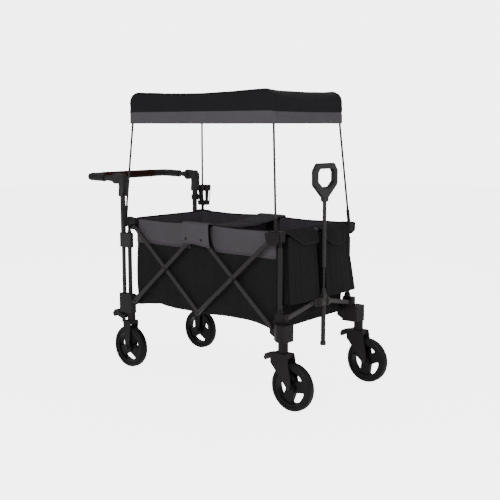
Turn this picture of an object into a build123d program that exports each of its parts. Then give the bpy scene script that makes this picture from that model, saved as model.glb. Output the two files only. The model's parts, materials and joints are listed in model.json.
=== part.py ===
"""Folding pull wagon with a canopy, a push handle and a pull handle.

Millimetres, +Z up, +X towards the pull handle, near side at -Y. The wheels stand on Z = 0.
"""

import os
from math import atan2, cos, degrees, hypot, radians, sin

from build123d import *

os.makedirs("parts", exist_ok=True)

# ---- driving dimensions ----
# Wheels and casters
WHEEL_R = 95.0
TYRE_W = 38.0
RIM_R = 77.0  # seat of the tyre
HUB_R = 20.0
HUB_W = 40.0
AXLE_R = 5.0
RUNNING_GAP = 0.05  # radial clearance of every turning pin
SPOKES = 3
SPOKE_W = 44.0
SPOKE_T = 20.0  # the web's depth along the axle
WINDOW_R0, WINDOW_R1 = 28.0, 65.0
FRONT_TURNS, REAR_TURNS = (51.0, 38.0), (90.0, 90.0)  # first spoke of the near and far wheel
FRONT_WHEEL_X, FRONT_WHEEL_Y = 522.0, 262.0
STEM_X = 474.0  # swivel axis of a front caster
STEM_R = 8.0
REAR_WHEEL_X, REAR_WHEEL_Y = -435.0, 230.0
LEG_T = 4.0
LEG_GAP = 2.0  # between hub face and fork leg
BOLT_HEAD, BOLT_R = 5.0, 8.5
LEVER_PIN_R = 3.0
LOCK_W, PEDAL_W = 34.0, 38.0
FORK_TOP_Z = 222.0
HOUSING_Z = 223.0  # underside of the swivel housing
BRACKET_Z0, HOUSING_TOP_Z, SOCKET_Z = 262.0, 330.0, 366.0  # steps of the front bracket
FRONT_POST_Z0, REAR_POST_Z0 = 382.0, 337.0  # where the posts leave their brackets

# Corner posts and push handle uprights
POST_Y = 232.0
POST_R, POST_BORE = 9.5, 7.5
SLIDE_R = 7.0  # tube that rises out of a post while folding
FRONT_POST_X, REAR_POST_X = 434.0, -430.0
POST_TOP_Z = 625.0
UPRIGHT_X = -470.0
UPRIGHT_R, UPRIGHT_LOW_R = 11.5, 9.0

# Scissor sides: two crossed pairs of equal bars on each side
NODE_X = (-385.0, 5.0, 395.0)
BOTTOM_Z, TOP_Z = 310.0, 648.0
LAYER_Y = (251.0, 241.0)  # outer and inner layer of bars
BAR_T, BAR_H = 8.0, 17.0
PIN_R = 4.0
LUG_Y0, LUG_Y1 = 229.0, 235.0
LUG_R = 11.0

# Top corner brackets
CAP_Z0, CAP_Z1 = 648.0, 688.0
ARM_Y0, ARM_Y1 = 227.5, 251.0
GUARD_Y0, GUARD_Y1 = 259.0, 263.0
BAR_CLEAR = 12.0  # height of the arm's underside over the bar's pin
SLIDE_Z0 = 440.0  # lower end of the tube inside the post

# Fabric tub
TUB_X0, TUB_X1 = -408.0, 418.0
TUB_Y = 225.0
TUB_Z0, TUB_Z1 = 306.0, 686.0
CLOTH_T = 4.0

# Canopy and its poles
CANOPY_X0, CANOPY_X1 = -418.0, 400.0
CANOPY_Y = 230.0
CANOPY_Z0, CANOPY_Z1 = 1098.0, 1240.0
CANOPY_LEAN = 4.0
CANOPY_T = 3.0
HOOP_R = 48.0
POLE_R = 4.5
POLE_BASE_Y, POLE_HEM_Y = 249.0, 221.0
POLE_FRONT_X, POLE_REAR_X = (425.0, 390.0), (-433.0, -407.0)  # at base and at hem
POLE_BASE_Z, POLE_TOP_Z = 652.0, 1190.0
SOCKET_TOP_Z = 738.0

# Push handle bar
HUB_X, HUB_Z = -505.0, 856.0
BAR_LEAN = 0.9  # degrees above level
BAR_REACH = 185.3
BAR_R = 9.5
GRIP_R = 17.0

# Cup holder
CUP_X, CUP_Y, CUP_Z0, CUP_Z1 = -466.0, 292.0, 705.0, 802.0
CUP_R, CUP_FOOT_R, CUP_T = 36.0, 29.0, 3.0
CUP_FLOOR_T = 4.0
CUP_WINDOWS, CUP_WINDOW_W = 6, 16.0
CUP_WINDOW_Z0, CUP_WINDOW_H = 725.0, 50.0
CLIP_Z0, CLIP_H = 735.0, 24.0  # arm that grips the upright
CLIP_R, CLIP_W = 16.0, 26.0

# Pull handle
PULL_X, PULL_Z = 475.0, 385.0
CLEVIS_GAP, CLEVIS_Y = 14.0, 30.0  # inner and outer faces of the hub's ears
PULL_PIN_R = 5.0
SLEEVE_R, SLEEVE_BORE = 9.5, 7.0
MID_R, MID_BORE = 6.6, 4.9
ROD_R = 4.5


# Sub-parts are drawn about the middle of the tub, then moved so the frame's origin is on the
# ground under the middle of the whole wagon.
REAR_REACH = HUB_X - BAR_REACH * cos(radians(BAR_LEAN)) - GRIP_R - 1
FRONT_REACH = FRONT_WHEEL_X + WHEEL_R
NEAR_REACH = FRONT_WHEEL_Y + HUB_W / 2 + LEG_GAP + LEG_T + BOLT_HEAD
FAR_REACH = CUP_Y + CUP_R
ORIGIN_SHIFT = Location((-(REAR_REACH + FRONT_REACH) / 2, -(FAR_REACH - NEAR_REACH) / 2, 0))


def save(part, name):
    """Move one sub-part into the frame, label it and write its STEP file."""
    moved = part.moved(ORIGIN_SHIFT)
    moved.label = name
    export_step(moved, f"parts/{name}.step")


def save_pair(near, name):
    """Write a near-side sub-part and its mirror image on the far side."""
    far = mirror(near, about=Plane.XZ)
    save(near, f"{name}_near")
    save(far, f"{name}_far")


def along_y(x, z, y):
    """Plane at height y whose normal is +Y, local x along -X."""
    return Plane(origin=(x, y, z), x_dir=(-1, 0, 0), z_dir=(0, 1, 0))


def level(x, y, z):
    return Plane(origin=(x, y, z))


def on_line(start, end, z):
    """Point at height z on the straight line through start and end."""
    t = (z - start[2]) / (end[2] - start[2])
    return tuple(a + t * (b - a) for a, b in zip(start, end))


# ---- wheels: a spoked rim and a tyre, turning on the fork's axle ----
def rim_at(x, y, turn):
    with BuildPart() as rim:
        with BuildSketch(along_y(x, WHEEL_R, y - HUB_W / 2)):
            Circle(HUB_R)
        extrude(amount=HUB_W)
        with BuildSketch(along_y(x, WHEEL_R, y - SPOKE_T / 2)):
            Circle(WINDOW_R1 + 3)
        extrude(amount=SPOKE_T)
        with BuildSketch(along_y(x, WHEEL_R, y - TYRE_W / 2 + 3)):
            Circle(RIM_R)
            Circle(WINDOW_R1, mode=Mode.SUBTRACT)
        extrude(amount=TYRE_W - 6)
        with BuildSketch(along_y(x, WHEEL_R, y - SPOKE_T / 2 - 4)):
            Circle(WINDOW_R0 - 4)
        extrude(amount=SPOKE_T + 8)
        with BuildSketch(along_y(x, WHEEL_R, y - TYRE_W)) as windows:
            Circle(WINDOW_R1)
            Circle(WINDOW_R0, mode=Mode.SUBTRACT)
            with PolarLocations(WINDOW_R1 / 2, SPOKES, start_angle=turn):
                Rectangle(WINDOW_R1 + 4, SPOKE_W, mode=Mode.SUBTRACT)
            fillet(windows.vertices(), 7.0)
        extrude(amount=2 * TYRE_W, mode=Mode.SUBTRACT)
        with BuildSketch(along_y(x, WHEEL_R, y - TYRE_W)):
            Circle(AXLE_R + RUNNING_GAP)
        extrude(amount=2 * TYRE_W, mode=Mode.SUBTRACT)
    return rim.part


def tyre_at(x, y):
    with BuildPart() as tyre:
        with BuildSketch(along_y(x, WHEEL_R, y - TYRE_W / 2)):
            Circle(WHEEL_R)
            Circle(RIM_R, mode=Mode.SUBTRACT)
        extrude(amount=TYRE_W)
        outer = tyre.edges().filter_by(GeomType.CIRCLE).sort_by(SortBy.RADIUS)[-2:]
        fillet(outer, 12.0)
    return tyre.part


for end, wheel_x, wheel_y, turns in (
    ("front", FRONT_WHEEL_X, FRONT_WHEEL_Y, FRONT_TURNS),
    ("rear", REAR_WHEEL_X, REAR_WHEEL_Y, REAR_TURNS),
):
    save(rim_at(wheel_x, -wheel_y, turns[0]), f"{end}_rim_near")
    save(rim_at(wheel_x, wheel_y, turns[1]), f"{end}_rim_far")
    save_pair(tyre_at(wheel_x, -wheel_y), f"{end}_tyre")

# ---- front caster forks: raked legs, crown, swivel stem and axle in one riveted piece ----
leg_y = HUB_W / 2 + LEG_GAP
LOCK_PIVOT = (STEM_X - 46.0, FORK_TOP_Z - 14.0)
with BuildPart() as front_fork:
    with BuildSketch(along_y(0, 0, -FRONT_WHEEL_Y - leg_y - LEG_T)) as leg:
        with BuildLine():
            Polyline(
                (-(STEM_X - 44), FORK_TOP_Z),
                (-(STEM_X + 36), FORK_TOP_Z),
                (-(FRONT_WHEEL_X + 12), WHEEL_R),
                (-(FRONT_WHEEL_X - 2), WHEEL_R - 13),
                (-(FRONT_WHEEL_X - 14), WHEEL_R),
                (-(STEM_X - 44), FORK_TOP_Z - 40),
                close=True,
            )
        make_face()
        fillet(leg.vertices(), 6.0)
    extrude(amount=LEG_T)
    add(mirror(front_fork.part, about=Plane.XZ.offset(FRONT_WHEEL_Y)))
    with BuildSketch(level(STEM_X - 4, -FRONT_WHEEL_Y, FORK_TOP_Z - 18)):
        RectangleRounded(72, 2 * leg_y + 2 * LEG_T, 6)
    extrude(amount=18)
    with BuildSketch(level(STEM_X, -FRONT_WHEEL_Y, FORK_TOP_Z)):
        Circle(STEM_R)
    extrude(amount=62)
    with BuildSketch(along_y(FRONT_WHEEL_X, WHEEL_R, -FRONT_WHEEL_Y - leg_y - LEG_T - BOLT_HEAD)):
        Circle(AXLE_R)
    extrude(amount=2 * (leg_y + LEG_T + BOLT_HEAD))
    for head_y in (-FRONT_WHEEL_Y - leg_y - LEG_T - BOLT_HEAD, -FRONT_WHEEL_Y + leg_y + LEG_T):
        with BuildSketch(along_y(FRONT_WHEEL_X, WHEEL_R, head_y)):
            RegularPolygon(BOLT_R, 6)
        extrude(amount=BOLT_HEAD)
    # Pin of the swivel lock lever, across the back of the crown
    with BuildSketch(along_y(*LOCK_PIVOT, -FRONT_WHEEL_Y - leg_y - 1)):
        Circle(LEVER_PIN_R)
    extrude(amount=2 * leg_y + 2)
save_pair(front_fork.part, "front_fork")

# ---- swivel lock lever on each front fork ----
with BuildPart() as swivel_lock:
    with BuildSketch(along_y(0, 0, -FRONT_WHEEL_Y - LOCK_W / 2)) as lever:
        with BuildLine():
            Polyline(
                (-(LOCK_PIVOT[0] + 5), LOCK_PIVOT[1] + 6),
                (-(LOCK_PIVOT[0] + 5), LOCK_PIVOT[1] - 6),
                (-(LOCK_PIVOT[0] - 14), LOCK_PIVOT[1] - 11),
                (-(LOCK_PIVOT[0] - 30), LOCK_PIVOT[1] - 24),
                (-(LOCK_PIVOT[0] - 39), LOCK_PIVOT[1] - 16),
                (-(LOCK_PIVOT[0] - 32), LOCK_PIVOT[1] + 3),
                (-(LOCK_PIVOT[0] - 12), LOCK_PIVOT[1] + 9),
                close=True,
            )
        make_face()
        fillet(lever.vertices(), 3.5)
    extrude(amount=LOCK_W)
    with BuildSketch(along_y(*LOCK_PIVOT, -FRONT_WHEEL_Y - LOCK_W / 2 - 3)):
        Circle(LEVER_PIN_R + RUNNING_GAP)
    extrude(amount=LOCK_W + 6, mode=Mode.SUBTRACT)
save_pair(swivel_lock.part, "swivel_lock")

# ---- rear forks: fixed upright legs hung from the rear brackets ----
CROWN_Z0, CROWN_Z1 = 200.0, 215.0
BLOCK_Z0 = 252.0  # underside of the rear bracket
PEDAL_PIVOT = (REAR_WHEEL_X - 26.0, 232.0)
with BuildPart() as rear_fork:
    with BuildSketch(along_y(0, 0, -REAR_WHEEL_Y - leg_y - LEG_T)) as leg:
        with BuildLine():
            Polyline(
                (-(REAR_WHEEL_X - 24), CROWN_Z1),
                (-(REAR_WHEEL_X + 24), CROWN_Z1),
                (-(REAR_WHEEL_X + 12), WHEEL_R),
                (-REAR_WHEEL_X, WHEEL_R - 13),
                (-(REAR_WHEEL_X - 12), WHEEL_R),
                close=True,
            )
        make_face()
        fillet(leg.vertices(), 6.0)
    extrude(amount=LEG_T)
    add(mirror(rear_fork.part, about=Plane.XZ.offset(REAR_WHEEL_Y)))
    with BuildSketch(level(REAR_WHEEL_X, -REAR_WHEEL_Y, CROWN_Z0)):
        RectangleRounded(46, 2 * leg_y + 2 * LEG_T, 6)
    extrude(amount=CROWN_Z1 - CROWN_Z0)
    with BuildSketch(level(REAR_WHEEL_X + 6, -REAR_WHEEL_Y, CROWN_Z1)):
        Circle(18)
    extrude(amount=BLOCK_Z0 - CROWN_Z1)
    with BuildSketch(along_y(REAR_WHEEL_X, WHEEL_R, -REAR_WHEEL_Y - leg_y - LEG_T - BOLT_HEAD)):
        Circle(AXLE_R)
    extrude(amount=2 * (leg_y + LEG_T + BOLT_HEAD))
    for head_y in (-REAR_WHEEL_Y - leg_y - LEG_T - BOLT_HEAD, -REAR_WHEEL_Y + leg_y + LEG_T):
        with BuildSketch(along_y(REAR_WHEEL_X, WHEEL_R, head_y)):
            RegularPolygon(BOLT_R, 6)
        extrude(amount=BOLT_HEAD)
    # Ears and pin of the brake pedal, behind the fork
    for ear_y in (-REAR_WHEEL_Y - 24, -REAR_WHEEL_Y + 20):
        with BuildSketch(along_y(0, 0, ear_y)):
            with Locations((-(PEDAL_PIVOT[0] + 5), PEDAL_PIVOT[1] - 8)):
                Rectangle(22, 32)
        extrude(amount=4)
    with BuildSketch(along_y(*PEDAL_PIVOT, -REAR_WHEEL_Y - 22)):
        Circle(LEVER_PIN_R)
    extrude(amount=44)
save_pair(rear_fork.part, "rear_fork")

# ---- brake pedal above each rear wheel ----
with BuildPart() as brake_pedal:
    with BuildSketch(along_y(0, 0, -REAR_WHEEL_Y - PEDAL_W / 2)) as lever:
        with BuildLine():
            Polyline(
                (-(PEDAL_PIVOT[0] + 6), PEDAL_PIVOT[1] + 7),
                (-(PEDAL_PIVOT[0] + 6), PEDAL_PIVOT[1] - 7),
                (-(PEDAL_PIVOT[0] - 14), PEDAL_PIVOT[1] - 12),
                (-(PEDAL_PIVOT[0] - 42), PEDAL_PIVOT[1] - 2),
                (-(PEDAL_PIVOT[0] - 66), PEDAL_PIVOT[1] - 10),
                (-(PEDAL_PIVOT[0] - 76), PEDAL_PIVOT[1] + 6),
                (-(PEDAL_PIVOT[0] - 62), PEDAL_PIVOT[1] + 24),
                (-(PEDAL_PIVOT[0] - 44), PEDAL_PIVOT[1] + 28),
                (-(PEDAL_PIVOT[0] - 28), PEDAL_PIVOT[1] + 13),
                (-(PEDAL_PIVOT[0] - 8), PEDAL_PIVOT[1] + 9),
                close=True,
            )
        make_face()
        fillet(lever.vertices(), 4.0)
    extrude(amount=PEDAL_W)
    with BuildSketch(along_y(*PEDAL_PIVOT, -REAR_WHEEL_Y - PEDAL_W / 2 - 3)):
        Circle(LEVER_PIN_R + RUNNING_GAP)
    extrude(amount=PEDAL_W + 6, mode=Mode.SUBTRACT)
save_pair(brake_pedal.part, "brake_pedal")

# ---- corner posts: open tubes the top brackets slide in ----
for end, post_x, post_z in (
    ("front", FRONT_POST_X, FRONT_POST_Z0),
    ("rear", REAR_POST_X, REAR_POST_Z0),
):
    with BuildPart() as posts:
        with BuildSketch(level(post_x, -POST_Y, post_z)):
            Circle(POST_R)
            Circle(POST_BORE, mode=Mode.SUBTRACT)
        extrude(amount=POST_TOP_Z - post_z)
        mirror(about=Plane.XZ)
    save(posts.part, f"{end}_posts")

# ---- lower brackets ----
# Front: a swivel housing, a post socket that rises above it and a lug for the scissor bar
with BuildPart() as front_bracket:
    with BuildSketch(level(0, 0, BRACKET_Z0)) as outline:
        with BuildLine():
            Polyline(
                (FRONT_POST_X - 18, -POST_Y + 16),
                (STEM_X + 18, -POST_Y + 16),
                (STEM_X + 20, -FRONT_WHEEL_Y - 18),
                (STEM_X - 20, -FRONT_WHEEL_Y - 18),
                (FRONT_POST_X - 18, -POST_Y - 16),
                close=True,
            )
        make_face()
        fillet(outline.vertices(), 6.0)
    extrude(amount=HOUSING_TOP_Z - BRACKET_Z0)
    with BuildSketch(level(FRONT_POST_X + 8, -POST_Y, HOUSING_TOP_Z)):
        RectangleRounded(52, 32, 7)
    extrude(amount=SOCKET_Z - HOUSING_TOP_Z)
    with BuildSketch(level(FRONT_POST_X, -POST_Y, SOCKET_Z)):
        Circle(15)
    with BuildSketch(level(FRONT_POST_X, -POST_Y, FRONT_POST_Z0)):
        Circle(12)
    loft()
    with BuildSketch(level(STEM_X, -FRONT_WHEEL_Y, HOUSING_Z)):
        Circle(20)
    extrude(amount=60)
    with BuildSketch(along_y(0, 0, -LUG_Y1)) as lug:
        with BuildLine():
            Polyline(
                (-(FRONT_POST_X - 10), BOTTOM_Z + 52),
                (-(NODE_X[2] + LUG_R), BOTTOM_Z + 26),
                (-(NODE_X[2] - LUG_R), BOTTOM_Z + LUG_R),
                (-(NODE_X[2] - LUG_R), BOTTOM_Z - 30),
                (-(NODE_X[2] + LUG_R), BOTTOM_Z - 42),
                (-(FRONT_POST_X - 10), BOTTOM_Z - 46),
                close=True,
            )
        make_face()
    extrude(amount=LUG_Y1 - LUG_Y0)
    with BuildSketch(level(STEM_X, -FRONT_WHEEL_Y, HOUSING_Z)):
        Circle(STEM_R + RUNNING_GAP)
    extrude(amount=66, mode=Mode.SUBTRACT)
    with BuildSketch(along_y(NODE_X[2], BOTTOM_Z, -LUG_Y1 - 1)):
        Circle(PIN_R + RUNNING_GAP)
    extrude(amount=8, mode=Mode.SUBTRACT)
save_pair(front_bracket.part, "front_bracket")

# Rear: one block under the post and the push handle upright, with the bar lug
with BuildPart() as rear_bracket:
    with BuildSketch(level((REAR_POST_X + UPRIGHT_X) / 2, -POST_Y, BLOCK_Z0)):
        RectangleRounded(82, 36, 8)
    extrude(amount=REAR_POST_Z0 - BLOCK_Z0)
    with BuildSketch(along_y(0, 0, -LUG_Y1)) as lug:
        with BuildLine():
            Polyline(
                (-(REAR_POST_X + 10), BOTTOM_Z + 24),
                (-(NODE_X[0] + LUG_R), BOTTOM_Z + LUG_R),
                (-(NODE_X[0] + LUG_R), BOTTOM_Z - LUG_R),
                (-(REAR_POST_X + 10), BOTTOM_Z - 26),
                close=True,
            )
        make_face()
    extrude(amount=LUG_Y1 - LUG_Y0)
    with BuildSketch(along_y(NODE_X[0], BOTTOM_Z, -LUG_Y1 - 1)):
        Circle(PIN_R + RUNNING_GAP)
    extrude(amount=8, mode=Mode.SUBTRACT)
save_pair(rear_bracket.part, "rear_bracket")

# ---- collars that tie each rear post to its upright ----
COLLAR_Z0, COLLAR_Z1 = 550.0, 614.0
with BuildPart() as rear_collars:
    with BuildSketch(level((REAR_POST_X + UPRIGHT_X) / 2, -POST_Y, COLLAR_Z0)):
        RectangleRounded(72, 32, 14)
    extrude(amount=COLLAR_Z1 - COLLAR_Z0)
    for bore_x, bore_r in ((REAR_POST_X, POST_R), (UPRIGHT_X, UPRIGHT_LOW_R)):
        with BuildSketch(level(bore_x, -POST_Y, COLLAR_Z0 - 1)):
            Circle(bore_r + RUNNING_GAP)
        extrude(amount=COLLAR_Z1 - COLLAR_Z0 + 2, mode=Mode.SUBTRACT)
    mirror(about=Plane.XZ)
save(rear_collars.part, "rear_collars")

# ---- push handle uprights, each ending in a head with the hinge ear ----
BUTTON_R = 12.0
HEAD_Z0, HEAD_HALF = 778.0, 15.0
HINGE_R, HINGE_PIN_R = 23.0, 5.0
with BuildPart() as push_upright:
    with BuildSketch(level(UPRIGHT_X, -POST_Y, REAR_POST_Z0)):
        Circle(UPRIGHT_LOW_R)
    extrude(amount=COLLAR_Z1 + 2 - REAR_POST_Z0)
    with BuildSketch(level(UPRIGHT_X, -POST_Y, COLLAR_Z1 + 1)):
        Circle(UPRIGHT_R)
    extrude(amount=HEAD_Z0 + 12 - COLLAR_Z1 - 1)
    with BuildSketch(along_y(0, 0, -POST_Y - HEAD_HALF)) as head:
        with BuildLine():
            Polyline(
                (-(UPRIGHT_X + 13), HEAD_Z0),
                (-(UPRIGHT_X + 20), HEAD_Z0 + 34),
                (-(UPRIGHT_X + 20), HUB_Z + 2),
                (-(UPRIGHT_X + 6), HUB_Z + 20),
                (-(UPRIGHT_X - 10), HUB_Z + 22),
                (-(UPRIGHT_X - 10), HEAD_Z0 + 34),
                (-(UPRIGHT_X - 13), HEAD_Z0),
                close=True,
            )
        make_face()
        fillet(head.vertices(), 5.0)
    extrude(amount=2 * HEAD_HALF)
    # Hinge ear on the inner half
    with BuildSketch(along_y(HUB_X, HUB_Z, -POST_Y + 2)):
        Circle(24)
        with Locations((-22, 0)):
            Rectangle(44, 40)
    extrude(amount=13)
    with BuildSketch(along_y(HUB_X, HUB_Z, -POST_Y + 11)):
        Circle(BUTTON_R + 0.4)
    extrude(amount=6, mode=Mode.SUBTRACT)
    # Turning space of the handle hub on the outer half
    with BuildSketch(along_y(HUB_X, HUB_Z, -POST_Y - 20)):
        Circle(HINGE_R + 2.5)
    extrude(amount=21.5, mode=Mode.SUBTRACT)
    with BuildSketch(along_y(HUB_X, HUB_Z, -POST_Y - 10)):
        Circle(HINGE_PIN_R)
    extrude(amount=14)
save_pair(push_upright.part, "push_upright")

# ---- angle buttons on the inner face of each head ----
with BuildPart() as push_button:
    with BuildSketch(along_y(HUB_X, HUB_Z, -POST_Y + 14)):
        Circle(BUTTON_R)
    extrude(amount=4)
    fillet(push_button.edges().sort_by(Axis.Y)[-1], 1.0)
save_pair(push_button.part, "push_button")

# ---- push handle bar: hinge hubs, bent tube, corner grips and centre grip ----
bar_dir = (-cos(radians(BAR_LEAN)), 0, sin(radians(BAR_LEAN)))
bar_up = (sin(radians(BAR_LEAN)), 0, cos(radians(BAR_LEAN)))
bar_plane = Plane(origin=(HUB_X, 0, HUB_Z), x_dir=bar_dir, z_dir=bar_up)
BAR_Y = POST_Y + 8.0  # the arms leave the hubs on the outer half
BEND_R = 26.0
TUBE_FROM = 32.0  # where the bent tube leaves a hub


def bar_point(reach, y, z=0.0):
    """World point on the bar's plane: reach from the hinge, then world y."""
    return bar_plane.from_local_coords(Vector(reach, -y, z))


with BuildPart() as push_hubs:
    with BuildSketch(along_y(HUB_X, HUB_Z, -POST_Y - HEAD_HALF)):
        Circle(HINGE_R)
    extrude(amount=HEAD_HALF)
    with BuildSketch(along_y(HUB_X, HUB_Z, -POST_Y - 12)):
        Circle(HINGE_PIN_R + RUNNING_GAP)
    extrude(amount=14, mode=Mode.SUBTRACT)
    arm_plane = Plane(origin=bar_point(20, -BAR_Y), x_dir=(0, 1, 0), z_dir=bar_dir)
    with BuildSketch(arm_plane):
        RectangleRounded(15, 30, 5)
    with BuildSketch(arm_plane.offset(TUBE_FROM)):
        RectangleRounded(24, 24, 9)
    loft()
    with BuildSketch(arm_plane.offset(12)):
        Circle(BAR_R + RUNNING_GAP)
    extrude(amount=30, mode=Mode.SUBTRACT)
    mirror(about=Plane.XZ)
save(push_hubs.part, "push_hubs")

with BuildPart() as push_tube:
    with BuildLine(bar_plane) as path:
        Polyline((TUBE_FROM, BAR_Y), (BAR_REACH, BAR_Y), (BAR_REACH, -BAR_Y), (TUBE_FROM, -BAR_Y))
        fillet(path.vertices().sort_by(Axis.X)[:2], BEND_R)
    with BuildSketch(Plane(origin=path.line @ 0, z_dir=path.line % 0)):
        Circle(BAR_R)
    sweep(path=path.line)
save(push_tube.part, "push_tube")

CORNER_FROM, CORNER_TO = 74.0, 78.0  # along the arm, and in from the corner
with BuildPart() as push_corners:
    with BuildLine(bar_plane) as corner_path:
        Polyline((CORNER_FROM, BAR_Y), (BAR_REACH, BAR_Y), (BAR_REACH, BAR_Y - CORNER_TO))
        fillet(corner_path.vertices().sort_by(Axis.X)[:2].sort_by(Axis.Y)[0], BEND_R)
    with BuildSketch(Plane(origin=corner_path.line @ 0, z_dir=corner_path.line % 0)):
        Circle(GRIP_R)
        Circle(BAR_R + RUNNING_GAP, mode=Mode.SUBTRACT)
    sweep(path=corner_path.line)
    mirror(about=Plane.XZ)
save(push_corners.part, "push_corners")

GRIP_Y = BAR_Y - CORNER_TO - 3
with BuildPart() as push_grip:
    grip_plane = Plane(origin=bar_point(BAR_REACH, -GRIP_Y), x_dir=bar_up, z_dir=(0, 1, 0))
    with BuildSketch(grip_plane):
        Circle(GRIP_R + 1)
        Circle(BAR_R + RUNNING_GAP, mode=Mode.SUBTRACT)
    extrude(amount=2 * GRIP_Y)
save(push_grip.part, "push_grip")

# ---- cup holder clipped outside the far upright ----
with BuildPart() as cup_holder:
    with BuildSketch(level(CUP_X, CUP_Y, CUP_Z0)):
        Circle(CUP_FOOT_R)
    with BuildSketch(level(CUP_X, CUP_Y, CUP_Z1)):
        Circle(CUP_R)
    loft()
    with BuildSketch(level(CUP_X, CUP_Y, CUP_Z0 + CUP_FLOOR_T)):
        Circle(CUP_FOOT_R - CUP_T)
    with BuildSketch(level(CUP_X, CUP_Y, CUP_Z1 + 1)):
        Circle(CUP_R - CUP_T)
    loft(mode=Mode.SUBTRACT)
    with BuildSketch(level(CUP_X, CUP_Y, CUP_WINDOW_Z0)):
        with PolarLocations(CUP_FOOT_R + 2, CUP_WINDOWS, start_angle=11):
            Rectangle(14, CUP_WINDOW_W)
    extrude(amount=CUP_WINDOW_H, mode=Mode.SUBTRACT)
    with BuildSketch(level(UPRIGHT_X, POST_Y, CLIP_Z0)):
        with Locations((0, CLIP_R)):
            Rectangle(CLIP_W, CLIP_W)
        Circle(CLIP_R)
        with Locations((CUP_X - UPRIGHT_X, CUP_Y - POST_Y)):
            Circle(CUP_FOOT_R + 2.5, mode=Mode.SUBTRACT)
        Circle(UPRIGHT_R + RUNNING_GAP, mode=Mode.SUBTRACT)
    extrude(amount=CLIP_H)
save(cup_holder.part, "cup_holder")


# ---- cross braces between the lower brackets: two arms up to a hub ----
ARM_T, ARM_H = 10.0, 20.0
BRACE_HUB_T, BRACE_HUB_H = 24.0, 40.0
FRONT_BRACE_X, REAR_BRACE_X = 452.0, -446.0
EAR_R, EAR_ROOT_X = 18.0, 460.0


def brace(x, face_y, end_z, hub_z, hub_half):
    """Two sloping arms cut flush with the bracket faces, meeting in a moulded hub."""
    spare = 3 * ARM_T  # run past the bracket face, cut off again
    run, rise = face_y - hub_half + 6, hub_z - end_z
    arm_dir = Vector(0, run, rise).normalized()
    start = Vector(x, -face_y, end_z) - arm_dir * spare
    with BuildPart() as made:
        with BuildSketch(Plane(origin=start, x_dir=(1, 0, 0), z_dir=arm_dir)):
            RectangleRounded(ARM_T, ARM_H, 4)
        extrude(amount=hypot(run, rise) + spare)
        with BuildSketch(level(x, -face_y - spare, 0)):
            Rectangle(4 * ARM_T, 2 * spare)
        extrude(amount=TOP_Z, mode=Mode.SUBTRACT)
        mirror(about=Plane.XZ)
        with BuildSketch(level(x, 0, hub_z - BRACE_HUB_H / 2)):
            RectangleRounded(BRACE_HUB_T, 2 * hub_half, 6)
        extrude(amount=BRACE_HUB_H)
    return made.part


with BuildPart() as front_brace:
    add(brace(FRONT_BRACE_X, POST_Y - 16, 345, PULL_Z, 34))
    # Clevis ears that carry the pull handle
    for ear_y in (-CLEVIS_Y, CLEVIS_GAP):
        with BuildSketch(along_y(0, 0, ear_y)):
            with Locations((-PULL_X, PULL_Z)):
                Circle(EAR_R)
            with Locations((-(PULL_X + EAR_ROOT_X) / 2, PULL_Z)):
                Rectangle(PULL_X - EAR_ROOT_X, 2 * EAR_R)
        extrude(amount=CLEVIS_Y - CLEVIS_GAP)
    with BuildSketch(along_y(PULL_X, PULL_Z, -23)):
        Circle(PULL_PIN_R + RUNNING_GAP)
    extrude(amount=46, mode=Mode.SUBTRACT)
    # Slot below the hub's bridge, so the sleeve's tail can swing back under the tub
    with BuildSketch(level(FRONT_BRACE_X, 0, PULL_Z - 60)):
        Rectangle(40, 2 * CLEVIS_GAP)
    extrude(amount=60 + 10, mode=Mode.SUBTRACT)
save(front_brace.part, "front_brace")

save(brace(REAR_BRACE_X, POST_Y - 18, 300, 372, 30), "rear_brace")

# ---- scissor bars: four per side, pinned at ends and centre ----
bar_len = hypot(NODE_X[1] - NODE_X[0], TOP_Z - BOTTOM_Z)


def scissor_bar(x0, z0, x1, z1, layer, pins):
    """Flat bar between two nodes; pins lists which of start, mid, end carry a rivet."""
    y = -LAYER_Y[layer]
    angle = degrees(atan2(z1 - z0, x1 - x0))
    centre = ((x0 + x1) / 2, (z0 + z1) / 2)
    spots = {"start": (x0, z0), "mid": centre, "end": (x1, z1)}
    with BuildPart() as bar:
        with BuildSketch(along_y(*centre, y - BAR_T / 2)):
            SlotCenterToCenter(bar_len, BAR_H, rotation=180 - angle)
        extrude(amount=BAR_T)
        for spot, (px, pz) in spots.items():
            if spot in pins:
                # A rivet head outside and a shank through the inner layer or the lug
                with BuildSketch(along_y(px, pz, y - BAR_T / 2 - 3)):
                    Circle(7.5)
                extrude(amount=3)
                with BuildSketch(along_y(px, pz, y)):
                    Circle(PIN_R)
                extrude(amount=pins[spot] - y)
            else:
                with BuildSketch(along_y(px, pz, y - BAR_T)):
                    Circle(PIN_R + RUNNING_GAP)
                extrude(amount=2 * BAR_T, mode=Mode.SUBTRACT)
    return bar.part


THROUGH_BAR = -LAYER_Y[1] + BAR_T / 2
THROUGH_LUG = -LUG_Y0
rear_x, mid_x, front_x = NODE_X
# a and c lie in the outer layer, b and d in the inner one
save_pair(
    scissor_bar(
        rear_x, BOTTOM_Z, mid_x, TOP_Z, 0,
        {"start": THROUGH_LUG, "mid": THROUGH_BAR, "end": THROUGH_BAR},
    ),
    "scissor_a",
)
save_pair(
    scissor_bar(rear_x, TOP_Z, mid_x, BOTTOM_Z, 1, {"start": THROUGH_LUG}),
    "scissor_b",
)
save_pair(
    scissor_bar(
        mid_x, BOTTOM_Z, front_x, TOP_Z, 0,
        {"start": THROUGH_BAR, "mid": THROUGH_BAR, "end": THROUGH_LUG},
    ),
    "scissor_c",
)
save_pair(
    scissor_bar(mid_x, TOP_Z, front_x, BOTTOM_Z, 1, {"end": THROUGH_LUG}),
    "scissor_d",
)


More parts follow.
